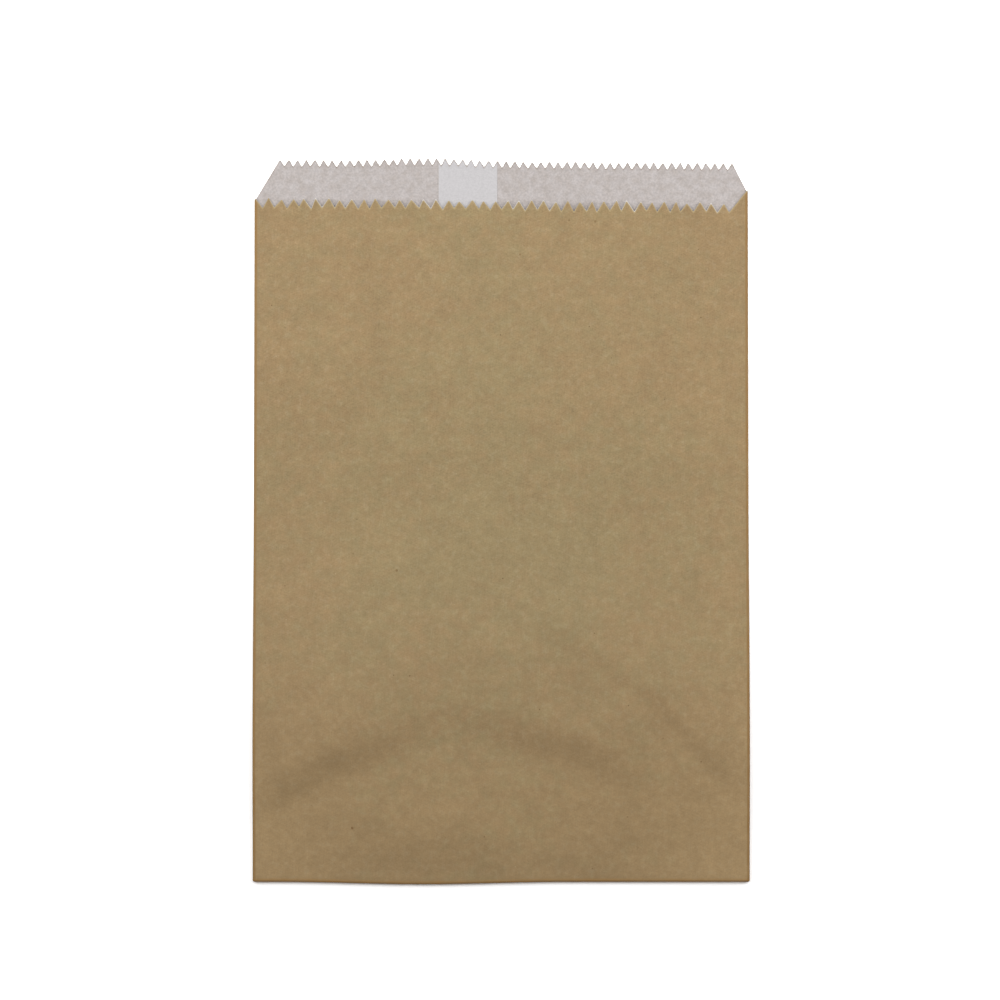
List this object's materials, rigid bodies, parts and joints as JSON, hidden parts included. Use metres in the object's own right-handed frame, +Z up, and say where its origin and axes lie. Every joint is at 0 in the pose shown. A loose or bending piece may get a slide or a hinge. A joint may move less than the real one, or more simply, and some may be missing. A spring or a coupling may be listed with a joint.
{
  "type": "flat paper bag",
  "caption": "Flat brown kraft takeaway bag with a white greaseproof liner, folded foot, lapped back seam, toothed mouth and a raised back lip, lying on its back",
  "frame": {"origin": "on the table, under the middle of the lying bag's bounding box", "axes": "+Z up out of the front panel, +Y from the bottom fold to the mouth, +X across the bag to the right as seen from above"},
  "size_m": [0.165, 0.2422, 0.0065],
  "materials": {
    "kraft_paper": "matt, unbleached",
    "greaseproof_paper": "smooth, slightly translucent white"
  },
  "bodies": {
    "root": {"kraft_bag": "kraft_paper", "greaseproof_liner": "greaseproof_paper"}
  },
  "joints": []
}
